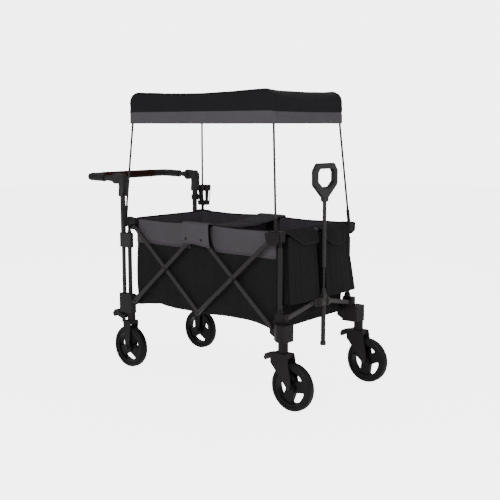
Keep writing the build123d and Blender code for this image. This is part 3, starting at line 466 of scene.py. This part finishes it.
def bottom_height(x, y):
    wave = 0.009 * bump_at(x, 0.20, 0.12) + 0.008 * bump_at(x, -0.25, 0.04)
    droop = 0.012 * bump_at(x, 0.40, 0.06) * (0.4 - min(y, 0.2)) / 0.6 + 0.016 * bump_at(x, -0.42, 0.06)
    return BOTTOM - 0.005 + wave - droop


def wall_point(p, t):
    """Cloth at rest: t is 0 at the bottom edge and 1 at the rim."""
    (x, y), (nx, ny) = around(p)
    z = bottom_height(x, y) + t * (rim_height(x) - bottom_height(x, y))
    # The rear wall is drawn in below the rim, where nothing holds it to the posts
    waist = 0.006 * bump_at(t, 0.72, 0.22) * max(0.0, min(1.0, (-0.33 - x) / 0.07))
    belly = 0.004 * sin(pi * t) + 0.0016 * soft_noise((x, y, z * 0.3), 14.0, 3.0)
    # Soft upright folds below the band
    body = max(0.0, min(1.0, (0.70 - t) / 0.12))
    belly += body * (0.0034 * soft_noise((x, y, z * 0.12), 24.0, 5.0) - 0.004 * bump_at(x, 0.395, 0.007))
    belly -= body * 0.003 * sum(bump_at(x, at, width) for at, width in TUCKS)
    return Vector((x + waist + nx * belly, y + ny * belly, z))


wall_columns = 4 * round(perimeter / COLUMN_GAP / 4)
column_p = [perimeter * i / wall_columns for i in range(wall_columns)]
wall_rows = [[wall_point(p, t) for p in column_p] for t in steps(0.0, 1.0, WALL_ROWS)]
tub_shell = add_piece("tub_shell", net(wall_rows, ring=True), "rear_top", "black_fabric", BLACK_CLOTH, LINING)

low_edge, high_edge = BOTTOM + 0.02, RIM - 0.012

def tub_held(point):
    return point.z > high_edge or point.z < low_edge

let_settle(tub_shell, tub_held, slack=0.012, limit=0.008, bend=1.2, frames=26, pull=0.8)

settled = [v.co - SHIFT for v in tub_shell.data.vertices]
tub_wall = [settled[i * wall_columns:(i + 1) * wall_columns] for i in range(WALL_ROWS + 1)]


def on_wall(p, z, lift=0.0):
    """Point on the settled wall at p and height z, lifted outwards."""
    (x, y), _ = around(p)
    bottom, top = bottom_height(x, y), rim_height(x)
    row = min(max((z - bottom) / (top - bottom), 0.0), 1.0) * WALL_ROWS
    low = min(int(row), WALL_ROWS - 1)
    column = (p % perimeter) / perimeter * wall_columns
    left = int(column) % wall_columns
    right = (left + 1) % wall_columns
    u, v = column - int(column), row - low
    a, b = tub_wall[low][left], tub_wall[low][right]
    c, d = tub_wall[low + 1][left], tub_wall[low + 1][right]
    normal = (b - a + d - c).cross(c - a + d - b).normalized()
    return a.lerp(b, u).lerp(c.lerp(d, u), v) + normal * lift


# The floor cloth closes the shell with shrinking rings, then the shell gets its thickness and lining
shell = bmesh.new()
shell.from_mesh(tub_shell.data)
shell.verts.ensure_lookup_table()
ring = shell.verts[:wall_columns]
FLOOR_RINGS = 10
for step in range(1, FLOOR_RINGS + 1):
    share = step / FLOOR_RINGS
    inner = []
    for vertex in shell.verts[:wall_columns]:
        spot = vertex.co - SHIFT
        target = Vector((min(max(spot.x, -0.2), 0.2), 0, BOTTOM + 0.001))
        inner.append(shell.verts.new(spot.lerp(target, share) + SHIFT))
    for i in range(wall_columns):
        j = (i + 1) % wall_columns
        shell.faces.new((inner[i], inner[j], ring[j], ring[i]))
    ring = inner
    shell.verts.ensure_lookup_table()
bmesh.ops.remove_doubles(shell, verts=shell.verts, dist=0.0004)
bmesh.ops.recalc_face_normals(shell, faces=shell.faces)
shell.to_mesh(tub_shell.data)
shell.free()
cloth_piece(tub_shell, 0.003, offset=-1.0, lining=1)
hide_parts("tub")

soft_pieces = [tub_shell]

# ---- grey band round the top: two panels on each side, one at the rear, a strip at the front ----
PANEL_LIFT = 0.0022
BAND_TOP = RIM - 0.002
# Start, end and height above the band's lower edge of each row of stitches
HEM_LINES = ((0.094, 0.404, 0.004), (0.091, 0.404, 0.010), (-0.394, -0.06, 0.004), (-0.394, -0.06, 0.010))
PANEL_X0, PANEL_CORNER_R, PANEL_SLOPE, SLOPE_TOP = 0.058, 0.022, 0.030, 0.655
STRIP_LOW = 0.668  # lower edge of the front strip


def grey_sheet(name, ps, low, high):
    """A grey panel sewn on the tub wall between two heights."""
    count = max(4, ceil((high - low) / 0.011))
    rows = []
    for share in steps(0.0, 1.0, count):
        rows.append([on_wall(p, low + share * (high - low), PANEL_LIFT) for p in ps])
    made = add_piece(name, net(rows), "rear_top", "grey_fabric", GREY_CLOTH)
    cloth_piece(made, 0.0014)
    soft_pieces.append(made)


def sewn(name, lines, slot="grey_fabric", body="rear_top"):
    """Rows of stitches along lines of points."""
    bm = bmesh.new()
    for line in lines:
        join(bm, stitch_line(line))
    soft_pieces.append(add_piece(name, bm, body, slot, THREAD))


def piping(name, path, radius, finish, body="rear_top"):
    """A round cord sewn along a line of points."""
    soft_pieces.append(add_piece(name, pipe(path, radius), body, "black_fabric", finish))


def front_edge(z):
    """Rear edge of the front panel at height z: rounded at the top, sloping forward below."""
    drop = max(0.0, z - (RIM - PANEL_CORNER_R))
    slope = PANEL_SLOPE * max(0.0, (SLOPE_TOP - z) / (SLOPE_TOP - BAND)) ** 1.3
    return PANEL_X0 + slope + PANEL_CORNER_R - sqrt(max(0.0, PANEL_CORNER_R**2 - drop**2))


for side, to_p in (("near", near_p), ("far", far_p)):
    grey_sheet(f"band_rear_{side}", [to_p(x) for x in steps(-0.396, -0.050, 30)], BAND, BAND_TOP)

    rows = []
    for z in steps(BAND - 0.001, RIM - 0.001, 10):
        rows.append([on_wall(to_p(x), z, PANEL_LIFT + 0.001) for x in steps(front_edge(z), 0.406, 32)])
    front_panel = add_piece(f"band_front_{side}", net(rows), "rear_top", "grey_fabric", GREY_CLOTH)
    cloth_piece(front_panel, 0.0016)
    soft_pieces.append(front_panel)

    edge_heights = steps(BAND - 0.001, RIM - 0.0005, 26)
    edge_path = [on_wall(to_p(front_edge(z)), z, PANEL_LIFT + 0.0022) for z in edge_heights]
    piping(f"panel_piping_{side}", edge_path, 0.0029, BINDING)
    hems = []
    for x0, x1, up in HEM_LINES:
        hems.append([on_wall(to_p(x), BAND + up, PANEL_LIFT + 0.0024) for x in steps(x0, x1, 40)])
    sewn(f"band_stitches_{side}", hems)

grey_sheet("band_rear_end", [rear_p(y) for y in steps(-0.2, 0.2, 36)], BAND, BAND_TOP)
grey_sheet("band_front_end", [front_p(y) for y in steps(-0.206, 0.206, 36)], STRIP_LOW, BAND_TOP)

# Binding folded over the rim all the way round
rim_path = [on_wall(p, RIM + 0.01, 0.0) for p in column_p]
rim_rows = pipe_rows(rim_path + rim_path[:1], 0.0042, flat=0.75)
rim_binding = add_piece("rim_binding", net(rim_rows, ring=True), "rear_top", "lining_fabric", BINDING)
soft_pieces.append(rim_binding)

# ---- middle cover: one cloth over the divider, hanging outside the middle joints on both sides ----
COVER_X0, COVER_X1 = -0.073, 0.077
COVER_HALF = 0.075  # half the cover's width
COVER_SIDE_Y, COVER_HANG_Z = 0.244, 0.690  # where the hanging part starts
COVER_LOW = 0.603  # its lower edge on both sides
COVER_SPAN = 0.476  # its run across the tub
COVER_SAG = 0.026
SNAP_XS, SNAP_Y, SNAP_Z = (-0.048, 0.040), 0.2625, 0.624
cover_line = []
for share in steps(0.0, 1.0, 10):
    cover_line.append((-0.2585 - 0.003 * sin(pi * share), COVER_LOW + share * 0.078))
for angle in steps(0.0, 80.0, 5):
    a = radians(angle)
    cover_line.append((-0.2455 - 0.013 * cos(a), 0.6825 + 0.0115 * sin(a)))
for share in steps(0.0, 1.0, 30)[1:]:
    y = -COVER_SPAN / 2 + COVER_SPAN * share
    cover_line.append((y, 0.693 - COVER_SAG * sin(pi * share) + 0.0012 * sin(9 * pi * share)))
# The far side hangs and bends like the near one
cover_line += [(-y, z) for y, z in reversed(cover_line[:16])]


def cover_point(x, y, z):
    """Point of the cover: dipped towards its edges on top, leaning and flared where it hangs."""
    if abs(y) <= COVER_SIDE_Y:
        return Vector((x, y, z - 0.006 * max(abs(x - 0.002) / COVER_HALF - 0.75, 0) / 0.25))
    flare = min(0.0, 0.004 * soft_noise((x, y, z), 11.0, 7.0))
    lean = 0.010 * (COVER_HANG_Z - z) / 0.09 * (x / COVER_HALF)
    low = 0.010 * max(0.0, x / COVER_HALF) * max(0.0, (0.66 - z) / 0.06)
    return Vector((x + lean, y + (flare if y > 0 else -flare), z - low))


cover_rows = []
for y, z in cover_line:
    cover_rows.append([cover_point(x, y, z) for x in steps(COVER_X0, COVER_X1, 18)])
cover_mesh = net(cover_rows)
# The cover's middle, inside the tub, gets the darker lining copy: painted shade, the hanging ends keep the
# grey cloth
for face in cover_mesh.faces:
    face.material_index = 1 if abs(face.calc_center_median().y) < 0.222 else 0
middle_cover = add_piece("middle_cover", cover_mesh, "rear_top", "grey_fabric", GREY_CLOTH, PAINTED_SHADE_LINING)
cloth_piece(middle_cover, 0.0018)
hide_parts("side_flaps")
soft_pieces.append(middle_cover)

cover_hems = []
for side in (-1, 1):
    for up in (0.005, 0.011):
        hem = [cover_point(x, -0.2605, COVER_LOW + up) for x in steps(COVER_X0 + 0.004, COVER_X1 - 0.004, 16)]
        cover_hems.append([Vector((p.x, side * abs(p.y), p.z)) for p in hem])
    for x in (COVER_X0 + 0.005, COVER_X1 - 0.005):
        edge = [cover_point(x, -0.2612, z) for z in steps(0.612, 0.676, 10)]
        cover_hems.append([Vector((p.x, side * abs(p.y), p.z)) for p in edge])
sewn("cover_stitches", cover_hems)


def snap(centre, out, radius=0.0055):
    """A domed snap button whose axis is out."""
    out = Vector(out).normalized()
    side = out.cross(Vector((0, 0, 1))).normalized()
    up = out.cross(side)
    profile = ((1.0, -0.001), (1.0, 0.0012), (0.8, 0.0022), (0.45, 0.0026), (0.12, 0.0028))
    rows = []
    for size, height in profile:
        ring = [2 * pi * k / 20 for k in range(20)]
        rows.append([centre + out * height + radius * size * (side * cos(a) + up * sin(a)) for a in ring])
    bm = net(rows, ring=True)
    bm.faces.new(bm.verts[-20:])
    return bm


snaps = bmesh.new()
for side in (-1, 1):
    for x in SNAP_XS:
        join(snaps, snap(Vector((x, side * SNAP_Y, SNAP_Z)), (0, side, 0)))
cover_snaps = add_piece("cover_snaps", snaps, "rear_top", "bracket_plastic", SOFT_GRIP)
soft_pieces.append(cover_snaps)

# ---- divider below the cover: a slack quilted panel that leans to the rear ----
divider_rows = []
for share in steps(0.0, 1.0, 24):
    row = []
    for y in steps(-0.217, 0.217, 34):
        top = RIM - COVER_SAG * cos(pi * y / COVER_SPAN)
        x, z = 0.004 - 0.058 * share, top + (0.328 - top) * share
        billow = 0.006 * sin(pi * share) * cos(pi * y / 0.45) + 0.0025 * soft_noise((y, z, x), 9.0, 1.0)
        row.append(Vector((x + billow, y, z)))
    divider_rows.append(row)
divider_panel = add_piece("divider_panel", net(divider_rows), "rear_top", "lining_fabric", LINING)
cloth_piece(divider_panel, 0.0022)
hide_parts("divider")
soft_pieces.append(divider_panel)

# ---- front pockets with their flaps ----
POCKET_SPAN = {"near": (0.013, 0.192, 0.018), "far": (0.034, 0.206, 0.006)}  # inner, outer, flare
POCKET_LOW, POCKET_TOP = 0.402, 0.662
WALL_X = TUB_X1 + 0.004
FLAP_TOP = 0.6845
FACE_SPREAD = {"near": 0.0, "far": 0.030}  # how far the low face spreads beyond the wall


def pocket_depth(z):
    """Depth of the pocket's side at height z: slim at its mouth, fuller low down."""
    t = max(0.0, min(1.0, (z - POCKET_LOW) / (POCKET_TOP - POCKET_LOW)))
    return 0.020 + 0.028 * (1 - t) ** 0.7


def pocket_face(z, share):
    """Outer face of the pocket; share runs from its outer side to its inner one."""
    swell = 0.007 * sin(pi * share)
    creases = sum(size * bump_at(share, at, 0.03) for at, size in ((0.15, 1.0), (0.33, 0.8), (0.86, 0.7)))
    return WALL_X + pocket_depth(z) + swell - 0.004 * creases


def flap_length(side, share):
    """Length of the flap; share runs from its inner end to its outer one."""
    if side == "near":
        return 0.060 - 0.054 * max(0.0, (share - 0.55) / 0.45) ** 1.2
    return 0.020 + 0.062 * (1 - abs(2 * share - 1) ** 3)


def flap_point(side, sign, share, fall):
    inner, outer, _ = POCKET_SPAN[side]
    y = inner - 0.003 + (outer - inner + 0.006) * share
    z = FLAP_TOP - 0.95 * fall
    x = WALL_X + 0.002 + 0.025 * sin(pi / 2 * min(1.0, fall / 0.020))
    if z < POCKET_TOP:
        x = max(x, pocket_face(z, 1 - share) + 0.008)
    ripple = 0.0022 * soft_noise((y, z, sign), 16.0, 5.0) * min(1.0, fall / 0.03)
    return Vector((x + ripple, sign * y, z))


for side, sign in (("near", -1), ("far", 1)):
    rows = []
    for t in steps(0.0, 1.0, 28):
        z = POCKET_LOW + t * (POCKET_TOP - POCKET_LOW)
        depth = pocket_depth(z)
        inner, outer, flare = POCKET_SPAN[side]
        outer += flare * (1 - t) ** 0.8
        path = []
        for share in steps(0.0, 1.0, 12):
            pleat = 0.009 * (0.5 - 0.5 * cos(4 * pi * share)) * (1.0 - 0.5 * t)
            path.append((WALL_X + depth * share, outer - pleat + FACE_SPREAD[side] * share * (1 - t)))
        wide = outer + FACE_SPREAD[side] * (1 - t)
        for share in steps(0.0, 1.0, 36)[1:]:
            path.append((pocket_face(z, share), wide + (inner - wide) * share))
        for share in steps(0.0, 1.0, 6)[1:]:
            path.append((WALL_X + depth * (1 - share), inner + 0.005 * sin(pi * share)))
        rows.append([Vector((x, sign * y, z)) for x, y in path])
    # The bottom is gathered back to the wall
    last = rows[0]
    for step in range(1, 5):
        share = step / 4
        gather = 0.010 * sin(share * 1.5)
        row = []
        for p in last:
            drop = gather + 0.003 * share * sin(300 * p.y)
            row.append(Vector((p.x + (WALL_X - p.x) * share, p.y, p.z - drop)))
        rows.insert(0, row)
    pocket = add_piece(f"pocket_{side}_cloth", net(rows), "front_top", "black_fabric", BLACK_CLOTH)
    def pocket_held(point):
        return point.x < WALL_X + 0.002 or point.z > POCKET_TOP - 0.006

    let_settle(pocket, pocket_held, slack=0.010, limit=0.005, bend=2.5)
    cloth_piece(pocket, 0.0016)
    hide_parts(f"pocket_{side}")

    # The flap folds out over the mouth and down the face
    flap_rows = []
    for t in steps(0.0, 1.0, 16):
        flap_rows.append([flap_point(side, sign, s, t * flap_length(side, s)) for s in steps(0.0, 1.0, 30)])
    flap = add_piece(f"pocket_flap_{side}", net(flap_rows), "front_top", "black_fabric", BLACK_CLOTH)
    cloth_piece(flap, 0.0022)
    outer_edge = [row[-1] for row in reversed(flap_rows[:-1])]
    edge = [row[0] for row in flap_rows] + flap_rows[-1][1:] + outer_edge
    piping(f"flap_binding_{side}", edge, 0.0019, POCKET_BINDING, body="front_top")
    hem = []
    for share in steps(0.06, 0.94, 40):
        fall = max(0.002, flap_length(side, share) - 0.007)
        hem.append(flap_point(side, sign, share, fall) + Vector((0.0018, 0, 0)))
    sewn(f"flap_stitches_{side}", [hem], slot="black_fabric", body="front_top")
    # The flap's binding and stitches ride on the front frame and are left out of the soft pieces
    del soft_pieces[-2:]

# ---- canopy: one cloth over two side hoops ----
HEM_Z, TOP_Z, SEAM_Z = 1.100, 1.2385, 1.147
CANOPY_X0, CANOPY_X1, CANOPY_Y, HOOP_R = -0.4165, 0.3985, 0.229, 0.050
LEAN = 0.004  # how far the roof stands in from the hem at each end
HEM_ROWS, WALL_STEPS = 4, 3  # rows of the hem, and from the seam up to the bend
END_ROWS = HEM_ROWS + WALL_STEPS


def canopy_outline():
    """Side outline from the rear hem over the top to the front hem, with a point at each seam."""
    line = [(CANOPY_X0, z) for z in steps(HEM_Z, SEAM_Z, HEM_ROWS)]
    line += [(CANOPY_X0 + LEAN, z) for z in steps(SEAM_Z, TOP_Z - HOOP_R, WALL_STEPS)[1:]]
    for angle in steps(0.0, 90.0, 8)[1:]:
        a = radians(angle)
        line.append((CANOPY_X0 + LEAN + HOOP_R * (1 - cos(a)), TOP_Z - HOOP_R * (1 - sin(a))))
    inner0, inner1 = CANOPY_X0 + LEAN + HOOP_R, CANOPY_X1 - LEAN - HOOP_R
    line += [(x, TOP_Z) for x in steps(inner0, inner1, 52)[1:-1]]
    for angle in steps(90.0, 0.0, 8):
        a = radians(angle)
        line.append((CANOPY_X1 - LEAN - HOOP_R * (1 - cos(a)), TOP_Z - HOOP_R * (1 - sin(a))))
    line += [(CANOPY_X1 - LEAN, z) for z in steps(TOP_Z - HOOP_R, SEAM_Z, WALL_STEPS)[1:]]
    line += [(CANOPY_X1, z) for z in steps(SEAM_Z, HEM_Z, HEM_ROWS)[1:]]
    return line


def sagged(x, y, z):
    """Slack of the cloth between its supports."""
    run = (x - CANOPY_X0) / (CANOPY_X1 - CANOPY_X0)
    high = max(0.0, (z - SEAM_Z) / (TOP_Z - SEAM_Z))
    across = 1 - (y / CANOPY_Y) ** 2
    hollow = sin(pi * min(max(run, 0.0), 1.0)) ** 0.8
    z -= high * (0.010 * hollow + 0.010 * across * hollow)
    inward = 0.004 * high * hollow * (abs(y) / CANOPY_Y) ** 6
    y -= inward * (1 if y > 0 else -1)
    x += 0.003 * soft_noise((x, y, z), 7.0, 11.0) * high
    return Vector((x, y, z + 0.0015 * soft_noise((x, y, z), 12.0, 4.0) * high))


outline = canopy_outline()
roof_rows = [[sagged(x, y, z) for y in steps(-CANOPY_Y, CANOPY_Y, 34)] for x, z in outline]
canopy_mesh = net(roof_rows)
for sign in (-1, 1):
    top_run = outline[END_ROWS:-END_ROWS]
    columns = []
    for x, z in top_run:
        heights = [h for _, h in outline[:HEM_ROWS + 1]] + [SEAM_Z + (z - SEAM_Z) * k / 3 for k in (1, 2)]
        columns.append([sagged(x, sign * CANOPY_Y, h) for h in heights] + [sagged(x, sign * CANOPY_Y, z)])
    first = [sagged(x, sign * CANOPY_Y, h) for x, h in outline[:END_ROWS + 1]]
    final = [sagged(x, sign * CANOPY_Y, h) for x, h in reversed(outline[-END_ROWS - 1:])]
    join(canopy_mesh, net([first] + columns[1:-1] + [final]))
bmesh.ops.remove_doubles(canopy_mesh, verts=canopy_mesh.verts, dist=0.0006)
for face in canopy_mesh.faces:
    face.material_index = 1 if face.calc_center_median().z < SEAM_Z else 0
canopy = add_piece("canopy_cloth", canopy_mesh, "rear_top", "canopy_fabric", CANOPY_BLACK, CANOPY_GREY)


def vertex_finder(obj):
    """Look-up of the nearest vertex of a piece as it is now."""
    tree = kdtree.KDTree(len(obj.data.vertices))
    for vertex in obj.data.vertices:
        tree.insert(vertex.co, vertex.index)
    tree.balance()
    return tree


canopy_rest = vertex_finder(canopy)
def canopy_held(point):
    at_hoop = abs(point.y) > CANOPY_Y - 0.003 and point.z > 1.2
    return point.z < HEM_Z + 0.004 or at_hoop

let_settle(canopy, canopy_held, slack=0.004, limit=0.007, bend=1.5)
# The piping follows the finished cloth where it came to rest
seam_rows = []
for sign in (-1, 1):
    seam = []
    for x, z in outline[HEM_ROWS:-HEM_ROWS]:
        index = canopy_rest.find(sagged(x, sign * CANOPY_Y, z) + SHIFT)[1]
        seam.append(canopy.data.vertices[index].co.copy())
    seam_rows.append(seam)
cloth_piece(canopy, 0.0016)
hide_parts("canopy")
canopy_skin = vertex_finder(canopy)
seam_rows = [[canopy_skin.find(point)[0] - SHIFT for point in seam] for seam in seam_rows]
canopy_seams = bmesh.new()
for seam in seam_rows:
    join(canopy_seams, pipe(seam, 0.0024, 6))
canopy_piping = add_piece("canopy_piping", canopy_seams, "rear_top", "canopy_fabric", BINDING)

for obj in soft_pieces + [frame["nodes"]["floor_board"]]:
    squash_with_fold(obj)
for obj in (canopy, canopy_piping):
    squash_with_fold(obj)

# ---- floor, light and camera ----
FLOOR_R = 14.0


def studio_piece(name, bm, finish, backdrop=True):
    """Add one surface of the studio; a backdrop is seen by the camera and touches nothing else."""
    mesh = bpy.data.meshes.new(name)
    bm.to_mesh(mesh)
    bm.free()
    mesh.materials.append(finish)
    made = bpy.data.objects.new(name, mesh)
    bpy.context.scene.collection.objects.link(made)
    for ray in ("diffuse", "glossy", "transmission", "shadow"):
        setattr(made, f"visible_{ray}", not backdrop)


def disc_at(z):
    disc = bmesh.new()
    bmesh.ops.create_circle(disc, cap_ends=True, segments=96, radius=FLOOR_R)
    bmesh.ops.translate(disc, verts=disc.verts, vec=(0, 0, z))
    return disc


pale = Finish("studio_floor", Specular_IOR_Level=0.1, Emission_Color=(1, 1, 1, 1), Emission_Strength=0.35)
cloud = pale.noise(2.0, 3.0)
floor_colour = pale.blend(cloud, (0.86, 0.86, 0.86), (0.90, 0.90, 0.90))
floor_finish = pale.done(floor_colour, pale.between(cloud, 0.6, 0.7))
studio_piece("studio_floor", disc_at(-0.0005), floor_finish, backdrop=False)

# A white dome behind everything, and a thin haze that lets the floor run into it without a line
dome = bmesh.new()
bmesh.ops.create_uvsphere(dome, u_segments=64, v_segments=32, radius=FLOOR_R - 1)
glow = Finish("studio_dome", Emission_Color=(1, 1, 1, 1), Emission_Strength=4.5)
studio_piece("studio_dome", dome, glow.material)
haze = Finish("studio_haze", Emission_Color=(1, 1, 1, 1), Emission_Strength=5.0, Alpha=0.85)
studio_piece("studio_haze", disc_at(-0.0003), haze.material)

world = bpy.data.worlds.new("studio")
bpy.context.scene.world = world
world.use_nodes = True
world.node_tree.nodes["Background"].inputs["Color"].default_value = (1, 1, 1, 1)
world.node_tree.nodes["Background"].inputs["Strength"].default_value = 0.42


def softbox(name, place, target, size, power):
    """A rectangular area light that faces its target."""
    lamp = bpy.data.lights.new(name, "AREA")
    lamp.shape = "RECTANGLE"
    lamp.size, lamp.size_y = size
    lamp.energy = power
    made = bpy.data.objects.new(name, lamp)
    made.location = place
    made.rotation_mode = "QUATERNION"
    made.rotation_quaternion = (Vector(target) - Vector(place)).to_track_quat("-Z", "Y")
    bpy.context.scene.collection.objects.link(made)


softbox("key", (1.2, -3.6, 2.6), (0, 0, 0.6), (2.6, 2.0), 95)
softbox("fill", (3.8, 0.4, 2.0), (0, 0, 0.6), (2.4, 2.4), 45)
softbox("top", (-0.6, 0.4, 3.6), (0, 0, 0.5), (3.0, 3.0), 40)

EYE, AIM = Vector((2.535, -2.881, 1.092)), Vector((0.048, 0.041, 0.552))
lens = bpy.data.cameras.new("camera")
lens.lens, lens.sensor_width = 63.64, 36.0
camera = bpy.data.objects.new("camera", lens)
bpy.context.scene.collection.objects.link(camera)
camera.location = SHIFT + EYE
camera.rotation_mode = "QUATERNION"
camera.rotation_quaternion = (AIM - EYE).to_track_quat("-Z", "Y")
bpy.context.scene.camera = camera
